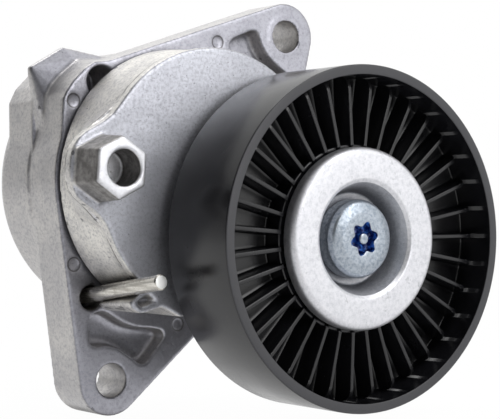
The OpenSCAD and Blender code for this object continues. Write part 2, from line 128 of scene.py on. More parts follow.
class Finish:
    """A procedural material. Its lengths are millimetres in the piece's own frame."""

    def __init__(self, name, **sockets):
        self.material = bpy.data.materials.new(name)
        self.material.use_nodes = True
        self.tree = self.material.node_tree
        self.shader = self.tree.nodes["Principled BSDF"]
        for socket, value in sockets.items():
            self.shader.inputs[socket.replace("_", " ")].default_value = value
        coords = self.node("ShaderNodeTexCoord")
        self.facing = coords.outputs["Normal"]
        self.place = self.node("ShaderNodeVectorMath", {0: coords.outputs["Object"],
                               "Scale": 1 / MM}, operation="SCALE").outputs[0]

    def node(self, kind, ins=None, **settings):
        made = self.tree.nodes.new(kind)
        for key, value in settings.items():
            setattr(made, key, value)
        for key, value in (ins or {}).items():
            if isinstance(value, bpy.types.NodeSocket):
                self.tree.links.new(value, made.inputs[key])
            else:
                made.inputs[key].default_value = value
        return made

    def math(self, operation, *values):
        return self.node("ShaderNodeMath", dict(enumerate(values)),
                         operation=operation).outputs[0]

    def axis(self, i):
        split = self.node("ShaderNodeSeparateXYZ", {0: self.place})
        return split.outputs[i]

    def height(self):
        """Height along the pivot axis, positive to the front."""
        return self.math("MULTIPLY", self.axis(1), -1.0)

    def facing_y(self):
        """How far the surface faces the back: -1 for a face that looks to the front."""
        return self.node("ShaderNodeSeparateXYZ", {0: self.facing}).outputs[1]

    def openness(self, reach):
        """How open a place is to what lies within reach: 0 in a corner, 1 in the open."""
        return self.node("ShaderNodeAmbientOcclusion", {"Distance": reach * MM},
                         samples=6).outputs["AO"]

    def scaled(self, x, y, z):
        """The place, stretched, which makes a grain that is long where a factor is small."""
        return self.node("ShaderNodeVectorMath", {0: self.place, 1: (x, y, z)},
                         operation="MULTIPLY").outputs[0]

    def polar(self, centre, radial, around):
        """Distance from an axis along the pulley's, and coordinates that run round it."""
        x = self.math("SUBTRACT", self.axis(0), float(centre[0]))
        z = self.math("SUBTRACT", self.axis(2), float(centre[1]))
        r = self.math("SQRT", self.math("ADD", self.math("MULTIPLY", x, x),
                                        self.math("MULTIPLY", z, z)))
        a = self.math("ARCTAN2", z, x)
        both = self.node("ShaderNodeCombineXYZ", {
            0: self.math("MULTIPLY", r, radial),
            1: self.math("MULTIPLY", self.math("COSINE", a), around),
            2: self.math("MULTIPLY", self.math("SINE", a), around)})
        return r, both.outputs[0]

    def noise(self, size, detail=3.0, rough=0.55, warp=0.0, place=None):
        return self.node("ShaderNodeTexNoise", {
            "Vector": place or self.place, "Scale": 1 / size, "Detail": detail,
            "Roughness": rough, "Distortion": warp}).outputs["Fac"]

    def cells(self, size, place=None):
        return self.node("ShaderNodeTexVoronoi", {
            "Vector": place or self.place, "Scale": 1 / size}).outputs["Distance"]

    def span(self, value, low, high, to_low=0.0, to_high=1.0):
        return self.node("ShaderNodeMapRange", {
            "Value": value, "From Min": low, "From Max": high, "To Min": to_low,
            "To Max": to_high}, interpolation_type="SMOOTHSTEP").outputs[0]

    def blend(self, amount, a, b, how="MIX"):
        made = self.node("ShaderNodeMix", data_type="RGBA", blend_type=how)
        for key, value in ((0, amount), (6, a), (7, b)):
            if isinstance(value, bpy.types.NodeSocket):
                self.tree.links.new(value, made.inputs[key])
            elif key == 0:
                made.inputs[0].default_value = value
            else:
                made.inputs[key].default_value = (*value, 1.0)
        return made.outputs[2]

    def use(self, socket, value):
        self.tree.links.new(value, self.shader.inputs[socket])

    def relief(self, *layers):
        """Layers of (height 0 to 1, depth in millimetres), stacked into the normal."""
        normal = None
        for height, depth in layers:
            ins = {"Height": height, "Distance": depth * MM, "Strength": 1.0}
            if normal:
                ins["Normal"] = normal
            normal = self.node("ShaderNodeBump", ins).outputs[0]
        self.use("Normal", normal)


def cast_metal(name, cool, warm, dark, rough, grime, detail=None):
    """Die-cast light alloy: cool and darker where it faces front, warmer and lighter on its sides as painted
    light, with painted shade in corners and painted dark lines on convex edges.
    """
    f = Finish(name, Metallic=0.85)
    flow = f.noise(16, 4, 0.6, 0.8)
    grain = f.noise(0.9, 4, 0.75)
    fine = f.noise(0.4, 2, 0.6)
    # Painted light: faces that look sideways get the lighter, warmer colour, faces that look to the front the
    # cooler, darker one.
    side = f.span(f.math("ABSOLUTE", f.facing_y()), 0.9, 0.3)
    colour = f.blend(side, cool, warm)
    colour = f.blend(f.span(flow, 0.38, 0.66, 0.0, 0.30), colour, dark)
    colour = f.blend(f.span(grain, 0.42, 0.68, 0.0, 0.55), colour, dark)
    specks = f.span(f.noise(0.6, 3, 0.6), 0.64, 0.71)
    colour = f.blend(f.math("MULTIPLY", specks, grime), colour, (0.05, 0.05, 0.055))
    if detail:
        colour = detail(f, side, colour)
    # Painted shade: places close to other surfaces are darkened, in patches broken up by noise, and made rougher.
    corner = f.span(f.openness(4.0), 0.15, 0.75, 0.8, 0.0)
    shade_patches = f.span(f.noise(2.5, 4, 0.65), 0.3, 0.7, 0.75, 1.0)
    colour = f.blend(f.math("MULTIPLY", corner, shade_patches), colour, (0.045, 0.040, 0.036))
    # Painted shade: dark lines along convex edges stand in for shaded chamfers.
    edge = f.span(f.node("ShaderNodeNewGeometry").outputs["Pointiness"], 0.515, 0.555)
    colour = f.blend(f.math("MULTIPLY", edge, 0.65), colour, (0.07, 0.07, 0.08))
    f.use("Base Color", colour)
    f.use("Roughness", f.math("ADD", f.span(grain, 0.3, 0.7, rough - 0.06, rough + 0.07),
                              f.math("MULTIPLY", corner, 0.2)))
    f.relief((flow, 0.06), (grain, 0.035), (fine, 0.012), (specks, -0.04))
    return f.material


def arm_detail(f, side, colour):
    """The wrench hexagon's side faces, browned by stain and darkened by painted shade, its end face brightened as
    a painted highlight, and the die's parting line.
    """
    out, _ = f.polar(LUG[:2], 1.0, 1.0)
    height = f.height()
    foot = span("pivot_end_plate")[0][2]
    near = f.math("MULTIPLY", f.span(out, 10.6, 9.2), f.span(height, foot + 1.2, foot + 2.6))
    patch = f.span(f.noise(2.4, 3, 0.6), 0.35, 0.65, 0.70, 0.95)
    # Brown stain with painted shade on the hexagon's side faces.
    hex_stain_and_shade = f.math("MULTIPLY", f.math("MULTIPLY", near, side), patch)
    colour = f.blend(hex_stain_and_shade, colour, (0.10, 0.094, 0.09))
    # Painted highlight: the hexagon's end face, which looks to the front, is brightened.
    end = f.math("MULTIPLY", near, f.math("SUBTRACT", 1.0, side))
    colour = f.blend(f.math("MULTIPLY", end, 0.55), colour, (0.90, 0.90, 0.92))
    wander = f.math("MULTIPLY", f.math("SUBTRACT", f.noise(7, 3), 0.5), 1.6)
    off = f.math("ABSOLUTE", f.math("ADD", f.math("SUBTRACT", height, foot - 1.8), wander))
    line = f.math("MULTIPLY", f.span(off, 0.28, 0.10), f.span(f.noise(5, 2), 0.40, 0.52))
    return f.blend(f.math("MULTIPLY", f.math("MULTIPLY", line, side), 0.8), colour,
                   (0.05, 0.045, 0.04))


def base_detail(f, side, colour):
    """The grimy outline of each round ejector mark on the front of the plate."""
    top = span("base_housing")[1][2]
    front = f.math("MULTIPLY", f.math("SUBTRACT", 1.0, side),
                   f.span(f.height(), top - 2.5, top - 1.5))
    for mark in EJECTOR_MARKS:
        out, _ = f.polar(mark, 1.0, 1.0)
        off = f.math("ABSOLUTE", f.math("SUBTRACT", out, MARK_RADIUS))
        line = f.math("MULTIPLY", f.span(off, 0.30, 0.10), front)
        colour = f.blend(f.math("MULTIPLY", line, 0.7), colour, (0.06, 0.055, 0.05))
    return colour


def turned_metal(name, colour, rough, centre, marks=0.012):
    """Machined steel with fine marks running round an axis."""
    f = Finish(name, Metallic=1.0)
    _, around = f.polar(centre, 3.0, 0.8)
    rings = f.noise(1, 3, 0.6, 0, around)
    cloud = f.noise(6, 3)
    dark = tuple(c * 0.72 for c in colour)
    f.use("Base Color", f.blend(f.span(cloud, 0.35, 0.7), colour, dark))
    f.use("Roughness", f.span(rings, 0.25, 0.75, rough - 0.06, rough + 0.1))
    f.relief((rings, marks), (f.noise(0.5, 2), marks / 2))
    return f.material


def moulded(name, colour, rough):
    """Moulded plastic or rubber with a fine cloudy surface."""
    f = Finish(name)
    cloud = f.noise(9, 4, 0.6)
    light = tuple(min(1.0, c * 1.35 + 0.004) for c in colour)
    f.use("Base Color", f.blend(f.span(cloud, 0.3, 0.7), colour, light))
    f.use("Roughness", f.span(f.noise(2.5, 3), 0.3, 0.7, rough - 0.04, rough + 0.07))
    f.relief((f.noise(0.35, 2, 0.6), 0.01))
    return f.material


def pulley_plastic(front):
    """Black glass-filled plastic: satin tread, greyer cut face on the rim."""
    f = Finish("pulley_plastic", IOR=1.5)
    cloud = f.noise(11, 4, 0.6, 0.5)
    fibre = f.noise(0.6, 3, 0.65, 0, f.scaled(1.0, 0.35, 1.0))
    face = f.span(f.height(), front - 0.25, front - 0.05)
    colour = f.blend(f.span(cloud, 0.3, 0.75), (0.004, 0.004, 0.005), (0.009, 0.009, 0.011))
    colour = f.blend(face, colour, (0.035, 0.035, 0.040))
    colour = f.blend(f.span(fibre, 0.62, 0.8, 0.0, 0.25), colour, (0.06, 0.06, 0.065))
    f.use("Base Color", colour)
    satin = f.span(cloud, 0.25, 0.75, 0.20, 0.28)
    f.use("Roughness", f.math("ADD", satin, f.math("MULTIPLY", face, 0.2)))
    f.relief((cloud, 0.03), (fibre, 0.010))
    return f.material


def cap_sheet():
    """Bright matt plated sheet, with handling scuffs and faint rings from pressing, and painted shade where other
    surfaces are close, as in the dish.
    """
    f = Finish("cap_sheet", Metallic=0.9)
    _, around = f.polar(PULLEY, 1.6, 3.0)
    rings = f.noise(1, 4, 0.65, 0, around)
    grain = f.noise(0.9, 4, 0.7)
    scuff = f.span(f.noise(1.0, 4, 0.7, 0.6, f.scaled(0.8, 1.0, 0.45)), 0.60, 0.70)
    colour = f.blend(f.span(grain, 0.35, 0.75, 0.0, 0.8), (0.70, 0.70, 0.73),
                     (0.50, 0.51, 0.54))
    colour = f.blend(f.math("MULTIPLY", scuff, 0.7), colour, (0.40, 0.41, 0.43))
    # Painted shade: the sheet is darkened where other surfaces are close.
    colour = f.blend(f.span(f.openness(7.0), 0.25, 0.85, 0.75, 0.0), colour,
                     (0.09, 0.09, 0.10))
    f.use("Base Color", colour)
    f.use("Roughness", f.span(rings, 0.25, 0.75, 0.40, 0.52))
    f.relief((rings, 0.010), (grain, 0.02), (scuff, -0.02))
    return f.material


def plated_bolt():
    """Zinc plating with a cool cast and small dents."""
    f = Finish("plated_bolt", Metallic=0.95)
    grain = f.noise(0.9, 4, 0.7)
    dents = f.span(f.cells(2.2), 0.10, 0.28)
    colour = f.blend(f.span(grain, 0.35, 0.7), (0.42, 0.46, 0.51), (0.25, 0.29, 0.34))
    f.use("Base Color", f.blend(f.span(dents, 0, 1, 0.35, 0), colour, (0.22, 0.25, 0.30)))
    f.use("Roughness", f.span(grain, 0.3, 0.7, 0.30, 0.46))
    f.relief((dents, 0.06), (grain, 0.03))
    return f.material


def recess_blue():
    """Blue sealing lacquer pooled in the bolt's star recess."""
    f = Finish("recess_blue", Metallic=0.35, Coat_Weight=0.4)
    pool = f.noise(1.4, 2)
    f.use("Base Color", f.blend(f.span(pool, 0.46, 0.66), (0.002, 0.014, 0.12),
                                (0.06, 0.22, 0.70)))
    f.use("Roughness", f.span(pool, 0.3, 0.7, 0.22, 0.38))
    f.relief((pool, 0.05))
    return f.material


def pin_steel():
    """Drawn steel: streaks along the pin, a little oxide, and a bright cut end."""
    f = Finish("pin_steel", Metallic=1.0)
    along = f.noise(0.5, 3, 0.6, 0, f.scaled(1.0, 0.03, 1.0))
    patch = f.span(f.noise(1.8, 4, 0.7), 0.48, 0.7)
    end = f.span(f.facing_y(), -0.90, -0.97)
    colour = f.blend(f.span(along, 0.35, 0.65), (0.66, 0.64, 0.59), (0.44, 0.42, 0.38))
    colour = f.blend(f.math("MULTIPLY", patch, 0.40), colour, (0.22, 0.20, 0.17))
    f.use("Base Color", f.blend(end, colour, (0.74, 0.74, 0.73)))
    f.use("Roughness", f.math("ADD", f.span(along, 0.3, 0.7, 0.24, 0.33),
                              f.math("MULTIPLY", end, 0.14)))
    f.relief((along, 0.004), (f.noise(0.6, 3), 0.003))
    return f.material


def spring_steel():
    """Oil-tempered wire: dark, streaked along its grain."""
    f = Finish("spring_steel", Metallic=0.9)
    streak = f.noise(1.2, 4, 0.7, 0.5)
    f.use("Base Color", f.blend(f.span(streak, 0.35, 0.7), (0.10, 0.10, 0.11),
                                (0.22, 0.21, 0.20)))
    f.use("Roughness", f.span(streak, 0.3, 0.7, 0.32, 0.5))
    f.relief((streak, 0.02))
    return f.material


FINISH = {
    # A casting's first two colours are its front and side tones; their difference is painted light.
    "cast_base": cast_metal("cast_base", (0.41, 0.41, 0.455), (0.52, 0.505, 0.49),
                            (0.24, 0.24, 0.27), 0.36, 0.4, base_detail),
    "cast_arm": cast_metal("cast_arm", (0.56, 0.57, 0.62), (0.72, 0.70, 0.66),
                           (0.27, 0.27, 0.30), 0.43, 0.9, arm_detail),
    "machined_steel": turned_metal("machined_steel", (0.56, 0.56, 0.57), 0.30, PIVOT),
    "plate_steel": turned_metal("plate_steel", (0.50, 0.50, 0.52), 0.36, PIVOT),
    "bearing_steel": turned_metal("bearing_steel", (0.66, 0.66, 0.68), 0.20, PULLEY),
    "plated_sheet": turned_metal("plated_sheet", (0.62, 0.62, 0.60), 0.38, PULLEY),
    "ball_steel": turned_metal("ball_steel", (0.75, 0.75, 0.77), 0.08, PULLEY, marks=0.002),
    "bush_bronze": turned_metal("bush_bronze", (0.48, 0.30, 0.14), 0.34, PIVOT),
    "washer_plastic": moulded("washer_plastic", (0.55, 0.48, 0.32), 0.42),
    "friction_plastic": moulded("friction_plastic", (0.045, 0.045, 0.048), 0.5),
    "dust_ring_rubber": moulded("dust_ring_rubber", (0.014, 0.014, 0.015), 0.6),
    "seat_plastic": moulded("seat_plastic", (0.03, 0.03, 0.033), 0.45),
    "seal_rubber": moulded("seal_rubber", (0.018, 0.017, 0.017), 0.55),
    "cage_plastic": moulded("cage_plastic", (0.22, 0.13, 0.06), 0.45),
    "spring_steel": spring_steel(),
    "cap_sheet": cap_sheet(),
    "plated_bolt": plated_bolt(),
    "pin_steel": pin_steel(),
    "pulley_plastic": pulley_plastic(span("pulley_wheel")[1][2]),
}
BLUE = recess_blue()


# ---------------------------------------------------------------- mesh tools

def adopt(ob, node, slot):
    """Puts a new piece in the place of a CAD node, with that node's body and finish."""
    body = next(b for b, names in frame["record"]["behaviour"]["bodies"].items()
                if node in names)
    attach(ob, body)
    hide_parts(node)
    if not ob.data.materials:
        ob.data.materials.append(FINISH[slot])
    return ob


def build(name, verts, faces, tags=None):
    """A smooth closed mesh from local millimetres. Points that meet are merged."""
    bm = bmesh.new()
    made = [bm.verts.new(p) for p in to_row(np.asarray(verts).reshape(-1, 3))]
    for i, face in enumerate(faces):
        bm.faces.new([made[k] for k in face]).material_index = tags[i] if tags else 0
    bmesh.ops.remove_doubles(bm, verts=bm.verts, dist=2e-6)
    bmesh.ops.recalc_face_normals(bm, faces=bm.faces)
    for face in bm.faces:
        face.smooth = True
    mesh = bpy.data.meshes.new(name)
    bm.to_mesh(mesh)
    bm.free()
    ob = bpy.data.objects.new(name, mesh)
    bpy.context.scene.collection.objects.link(ob)
    return ob


def grid_faces(columns, stations, loop):
    """Quads of a grid whose columns wrap round, and whose path closes when it is a loop."""
    c = np.arange(columns)[:, None]
    s = np.arange(stations if loop else stations - 1)[None, :]
    c2, s2 = (c + 1) % columns, (s + 1) % stations
    return np.stack(np.broadcast_arrays(c * stations + s, c2 * stations + s,
                                        c2 * stations + s2, c * stations + s2),
                    -1).reshape(-1, 4).tolist()


def rounded(points, loop=True, steps=4):
    """A path of (radius, z, corner radius) with its corners turned into arcs."""
    out, n = [], len(points)
    for i, (x, y, r) in enumerate(points):
        p = np.array([x, y], float)
        if r <= 0 or (not loop and i in (0, n - 1)):
            out.append(p)
            continue
        a = np.array(points[i - 1][:2], float) - p
        b = np.array(points[(i + 1) % n][:2], float) - p
        la, lb = np.linalg.norm(a), np.linalg.norm(b)
        a, b = a / la, b / lb
        half = math.acos(max(-1.0, min(1.0, float(a @ b)))) / 2
        reach = min(r / math.tan(half), 0.48 * la, 0.48 * lb)
        middle = p + (a + b) / np.linalg.norm(a + b) * reach / math.cos(half)
        t0, t1 = p + a * reach - middle, p + b * reach - middle
        start = math.atan2(t0[1], t0[0])
        turn = (math.atan2(t1[1], t1[0]) - start + math.pi) % (2 * math.pi) - math.pi
        size = np.linalg.norm(t0)
        out += [middle + size * np.array([math.cos(start + turn * k / steps),
                                          math.sin(start + turn * k / steps)])
                for k in range(steps + 1)]
    return np.array(out)


def lathe(node, slot, path, centre=PIVOT, columns=160, loop=True):
    """A path of (radius, z) turned round an axis along z."""
    a = np.linspace(0, 2 * np.pi, columns, endpoint=False)[:, None]
    r, z = path[None, :, 0], path[None, :, 1]
    grid = np.stack([centre[0] + r * np.cos(a), centre[1] + r * np.sin(a),
                     np.broadcast_to(z, (columns, len(path)))], -1)
    ob = build(node + "_turned", grid, grid_faces(columns, len(path), loop))
    return adopt(ob, node, slot)


def ring(node, slot, centre=PIVOT, edge=0.2):
    """A plain ring with softened edges, measured from its CAD node."""
    lo, hi = span(node)
    r0, r1 = radii(node, centre)
    return lathe(node, slot, rounded([(r0, lo[2], edge), (r1, lo[2], edge),
                                      (r1, hi[2], edge), (r0, hi[2], edge)]), centre)


def baked(ob):
    """Takes the modifiers' result as the object's own mesh."""
    graph = bpy.context.evaluated_depsgraph_get()
    mesh = bpy.data.meshes.new_from_object(ob.evaluated_get(graph))
    ob.modifiers.clear()
    ob.data = mesh
    return mesh


def cast_skin(node, slot, voxel, seed, flowing, firm):
    """A copy of a CAD casting with its edges run round, as they come from a die.

    flowing gives, from 0 to 1, how far a place is blended into what is round it.
    firm lists holes, as centre and radius, whose mouths keep sharp edges.
    """
    edge_passes, flow_passes = 5, 70

    def rounding(p):
        away = [np.hypot(*(p[:, :2] - centre).T) > radius for centre, radius in firm]
        return np.all(away, 0).astype(float)

    ob = bpy.data.objects.new(node + "_skin", frame["nodes"][node].data.copy())
    bpy.context.scene.collection.objects.link(ob)
    ob.data.materials.clear()
    weld = ob.modifiers.new("weld", "WELD")
    weld.merge_threshold = 2e-6
    voxels = ob.modifiers.new("voxels", "REMESH")
    voxels.mode = "VOXEL"
    voxels.voxel_size = voxel * MM
    mesh = baked(ob)
    settle(mesh, rounding, edge_passes)
    settle(mesh, flowing, flow_passes)
    ripple(mesh, seed)
    triangles = sum(len(p.vertices) - 2 for p in mesh.polygons)
    if triangles > MOST_TRIANGLES:
        thin = ob.modifiers.new("thin", "DECIMATE")
        thin.ratio = MOST_TRIANGLES / triangles
        mesh = baked(ob)
    mesh.polygons.foreach_set("use_smooth", [True] * len(mesh.polygons))
    return adopt(ob, node, slot)


def settle(mesh, amount, passes):
    """Moves each point towards the middle of its neighbours, as far as amount says."""
    count = len(mesh.vertices)
    co, ends = np.empty(count * 3), np.empty(len(mesh.edges) * 2, np.int32)
    mesh.vertices.foreach_get("co", co)
    mesh.edges.foreach_get("vertices", ends)
    co, (a, b) = co.reshape(-1, 3), ends.reshape(-1, 2).T
    share = 0.5 * amount(to_local(co))
    keep = (share[a] > 0) | (share[b] > 0)
    a, b = a[keep], b[keep]
    around = np.maximum(np.bincount(a, minlength=count) + np.bincount(b, minlength=count), 1)
    for _ in range(passes):
        total = np.stack([np.bincount(a, co[b, i], count) + np.bincount(b, co[a, i], count)
                          for i in range(3)], 1)
        co += (total / around[:, None] - co) * share[:, None]
    mesh.vertices.foreach_set("co", co.ravel())
    mesh.update()


def ramp(value, low, high):
    """0 at low, 1 at high and straight between. It falls when high is the smaller."""
    return np.clip((value - low) / (high - low), 0, 1)


def arm_flow(p):
    """The sheet of metal behind the bulge runs softly into the drum."""
    x, _, z = p.T
    lug_length = 10.8
    below_face = LUG[2] - lug_length - z
    return ramp(-x, 24, 27) * ramp(below_face, 2.9, 5.0) * ramp(z, 16.6, 18.5)


def base_flow(p):
    """The lightening pockets get bowl-shaped floors, and the corner lug a soft foot.

    Depth counts from a skin below the top, so that the plate's front face stays flat.
    """
    x, y, z = p.T
    skin, hole_rim, drum_rim, pocket_end = 0.35, 5.8, 33.5, (6.5, 6.0)
    down = span("base_housing")[1][2] - skin - z
    pockets = np.zeros(len(p))
    for low, high, name in POCKETS:
        hole = mount(name)
        inside = np.all((p[:, :2] > low) & (p[:, :2] < high), 1)
        pockets += inside & (np.hypot(x - hole[0], y - hole[1]) > hole_rim)
    clear = np.hypot(x, y) > drum_rim
    bowls = pockets * clear * ramp(down, 0.6, 1.4) * ramp(down, *pocket_end)
    lug_foot = ramp(-x, 32, 33) * ramp(y, 9, 11) * ramp(y, 19, 17) * ramp(z, 1.2, 2.2)
    return np.maximum(bowls, lug_foot * ramp(down, 0.6, 1.6))


def ripple(mesh, seed):
    """Slight unevenness of a cast skin, pushed inwards only."""
    depth = 0.035
    count = len(mesh.vertices)
    co, normal = np.empty(count * 3), np.empty(count * 3)
    mesh.vertices.foreach_get("co", co)
    mesh.vertices.foreach_get("normal", normal)
    co, normal = co.reshape(-1, 3), normal.reshape(-1, 3)
    shift = np.array([seed * 7.1, seed * 3.3, seed])
    wave = [noise.noise(p * 0.09 + shift) + 0.5 * noise.noise(p * 0.31 + shift)
            for p in co / MM]
    co -= normal * (depth * MM * (0.75 + 0.5 * np.array(wave)))[:, None]
    mesh.vertices.foreach_set("co", co.ravel())
    mesh.update()


# ---------------------------------------------------------------- the pulley wheel

def across_web(corners, level, count):
    """A path over the web from wall to wall, with count stations on its flat part."""
    sweep = rounded(corners, False, 4)
    flat = np.linspace(sweep[5, 0], sweep[6, 0], count)[1:-1]
    return np.vstack([sweep[1:6], [(r, level) for r in flat], sweep[6:]])


def wheel():
    """The whole wheel as one closed sheet: a grid of columns round the axis.

    Each station has a low place, between two ribs, and a high place, on top of a rib.
    """
    ribs, phase = 35, math.radians(0.5)
    lo, hi = span("pulley_wheel")
    bore, tread = radii("pulley_wheel", PULLEY)
    front, rear = hi[2], lo[2]
    seat_lo, seat_hi = span("bearing_outer_ring")
    seat = radii("bearing_outer_ring", PULLEY)[1]
    wall, fillet, step, draft = 2.6, 0.9, 0.1, 0.2
    rim = tread - wall
    hub, hub_front, hub_rear = 24.6, front - 6.4, seat_lo[2] - 1.1
    brow = hub_front - 0.35
    rib_front, rib_rear = front - 5.6, rear + 5.6
    web_front, web_rear = front - 11.6, front - 14.6
    turn = 3.4
    lows, highs = [], []

    def both(low, high):
        lows.append(np.asarray(low, float))
        highs.append(np.asarray(high, float))

    def same(points):
        both(points, points)

    same(rounded([(bore, seat_hi[2], 0), (bore, seat_hi[2] + 1, 0.3),
                  (seat + 0.2, seat_hi[2] + 1.6, 0.5), (seat + 1, hub_front, 0.3),
                  (hub - 0.6, hub_front, 0)], False))
    shares = np.linspace(0, 1, 6)[1:]
    both([(hub - 0.4, hub_front), (hub - 0.12, hub_front - 0.08), (hub - 0.02, brow)]
         + [(hub + draft * t, brow + (web_front + fillet - brow) * t) for t in shares],
         [(hub - 0.45, rib_front - 0.35), (hub - 0.38, rib_front - 0.1),
          (hub - 0.2, rib_front)] + [(hub + draft * t, rib_front) for t in shares])
    low = across_web([(hub + draft, web_front + fillet, 0), (hub + 0.3, web_front, fillet),
                      (rim, web_front, fillet), (rim, web_front + fillet, 0)],
                     web_front, 10)
    out = (low[:, 0] - low[0, 0]) / (low[-1, 0] - low[0, 0])
    both(low, np.stack([low[0, 0] + out * (rim - turn - low[0, 0]),
                        np.full(len(low), rib_front)], 1))
    bend = np.linspace(0, math.pi / 2, 7)[1:]
    both([(rim, web_front + fillet + (rib_front - turn - web_front - fillet) * a / bend[-1])
          for a in bend],
         [(rim - turn + turn * math.sin(a), rib_front - turn + turn * math.cos(a))
          for a in bend])
    same(rounded([(rim, rib_front - turn, 0), (rim, front, 0.25), (tread, front, 0.45),
                  (tread, rear, 0.45), (rim, rear, 0.25), (rim, rib_rear - step, 0)],
                 False)[1:])
    both([(rim, rib_rear - step + (web_rear - fillet - rib_rear + step) * t)
          for t in shares],
         [(rim, rib_rear - step + step * t) for t in shares])
    low = across_web([(rim, web_rear - fillet, 0), (rim, web_rear, fillet),
                      (hub, web_rear, fillet), (hub, web_rear - fillet, 0)], web_rear, 8)
    both(low, np.stack([low[:, 0], np.full(len(low), rib_rear)], 1))
    both([(hub, web_rear - fillet + (rib_rear - step - web_rear + fillet) * t)
          for t in shares],
         [(hub, rib_rear - step * t) for t in shares])
    same(rounded([(hub, rib_rear - step, 0), (hub, hub_rear, 0.4), (bore, hub_rear, 0.3),
                  (bore, seat_lo[2], 0), (seat, seat_lo[2], 0), (seat, seat_hi[2], 0)],
                 False)[1:])
    low, high = np.vstack(lows), np.vstack(highs)

    # A rib's flank: distance from its middle plane, and the share of its height there.
    flank = [(0.0, 1.0), (0.30, 1.0), (0.45, 0.995), (0.53, 0.975), (0.58, 0.92),
             (0.62, 0.50), (0.67, 0.07), (0.74, 0.02), (0.90, 0.0)]
    foot = flank[-1][0]
    half = math.pi / ribs
    # Each column: side, distance from the rib, share of the way to the next rib, height.
    columns = [(-1, foot, 1.0, 0.0), (-1, foot, 0.4, 0.0)]
    columns += [(-1, x, 0.0, h) for x, h in reversed(flank[1:])]
    columns += [(1, x, 0.0, h) for x, h in flank] + [(1, foot, 0.4, 0.0)]
    grid = []
    for i in range(ribs):
        for side, x, share, height in columns:
            p = low + (high - low) * height
            r = p[:, 0]
            near = np.arcsin(x / r)
            angle = phase + 2 * half * i + side * (near + (half - near) * share)
            grid.append(np.stack([PULLEY[0] + r * np.cos(angle),
                                  PULLEY[1] + r * np.sin(angle), p[:, 1]], -1))
    ob = build("pulley_wheel_moulded", grid, grid_faces(len(grid), len(low), True))
    return adopt(ob, "pulley_wheel", "pulley_plastic")


# ---------------------------------------------------------------- cap, bolt and pin

def cap():
    """Pressed sheet: a dished middle, a flat ring and an edge rolled over the hub."""
    lo, hi = span("dust_cap")
    inner, outer = radii("dust_cap", PULLEY)
    face, sheet, roll = hi[2], CAP_SHEET, 2.2
    dish, lip = 12.1, 15.4
    middle, skirt = lo[2] + sheet, face - 3.8
    path = rounded([
        (inner, middle, 0), (dish + 0.1, middle, 0.9), (lip - 0.7, face - 0.7, 0.1),
        (lip + 0.2, face, 0.9), (outer - 0.02, face, roll), (outer, skirt, 0.2),
        (outer - sheet, skirt, 0.2), (outer - sheet, face - sheet, roll - sheet),
        (lip + 0.5, face - sheet, 0.6), (dish + 0.8, middle - sheet, 0.4),
        (inner, middle - sheet, 0)], True, 6)
    return lathe("dust_cap", "cap_sheet", path, PULLEY, 192)


def bolt():
    """The bolt head carries a six-lobed recess with a round post in its middle."""
    lo, hi = span("pulley_bolt")
    head = radii("pulley_bolt", PULLEY)[1]
    face, seat, tail = hi[2], span("dust_cap")[0][2] + CAP_SHEET, lo[2]
    star, depth, post, shank = 4.45, 3.0, 1.45, 4.98
    columns, lobe_count, lobe_turn = 144, 6, math.radians(14)
    turn = np.linspace(0, 2 * np.pi, columns, endpoint=False)
    lobes = (1.72 + 0.28 * np.cos(lobe_count * (turn - lobe_turn))) / 2 * star

    def level(value):
        return np.full(columns, float(value))

    def circle(r, z):
        return level(r), level(z)

    stations = [circle(0, face - 0.12), circle(0.45, face - 0.16), circle(1.0, face - 0.05),
                circle(1.25, face - 0.12), circle(post, face - 0.4),
                circle(post, face - depth + 0.2), circle(post + 0.15, face - depth)]
    blue_from = len(stations) - 3
    stations += [(lobes - 0.25, level(face - depth)),
                 (lobes, level(face - depth + 0.25)), (lobes, level(face - 1.5)),
                 (lobes, level(face - 0.25)), (lobes + 0.07, level(face - 0.06)),
                 (lobes + 0.22, level(face)), (lobes * 0.5 + 2.9, level(face))]
    blue_to = len(stations) - 3
    for r, z in rounded([(5.6, face, 0), (head - 3.3, face - 0.05, 2.5),
                         (head - 0.8, face - 0.95, 1.4), (head, face - 2.4, 1.2),
                         (head, seat, 0.2), (shank + 0.2, seat, 0.3),
                         (shank, seat - 1.0, 0), (shank, tail + 0.8, 0.2),
                         (shank - 0.8, tail, 0), (0, tail, 0)], False, 5):
        stations.append(circle(r, z))
    r = np.stack([s[0] for s in stations], 1)
    z = np.stack([s[1] for s in stations], 1)
    grid = np.stack([PULLEY[0] + r * np.cos(turn)[:, None],
                     PULLEY[1] + r * np.sin(turn)[:, None], z], -1)
    tags = [1 if blue_from <= s < blue_to else 0 for _ in range(columns)
            for s in range(len(stations) - 1)]
    ob = build("pulley_bolt_headed", grid, grid_faces(columns, len(stations), False), tags)
    ob.data.materials.append(FINISH["plated_bolt"])
    ob.data.materials.append(BLUE)
    return adopt(ob, "pulley_bolt", "plated_bolt")


def pin():
    """The lock pin, turned round its own leaning axis."""
    way = to_local(np.array(joint("pin_pull")["axis"]) * MM)
    side = np.array([1.0, 0.0, 0.0])
    up = np.cross(way, side)
    points = cad_points("lock_pin")
    along, across, rise = points @ way, points @ side, points @ up
    radius = (across.max() - across.min()) / 2
    middle = side * (across.max() + across.min()) / 2 + up * (rise.max() + rise.min()) / 2
    path = rounded([(0, along.min(), 0), (radius - 0.6, along.min(), 0.2),
                    (radius, along.min() + 1, 0.5), (radius, along.max() - 0.35, 0.2),
                    (radius - 0.3, along.max() - 0.04, 0.2), (radius * 0.4, along.max(), 0.4),
                    (0, along.max(), 0)], False, 4)
    sides = 64
    a = np.linspace(0, 2 * np.pi, sides, endpoint=False)[:, None, None]
    grid = (middle + path[None, :, 1:] * way
            + path[None, :, :1] * (np.cos(a) * side + np.sin(a) * up))
    ob = build("lock_pin_drawn", grid, grid_faces(sides, len(path), False))
    return adopt(ob, "lock_pin", "pin_steel")


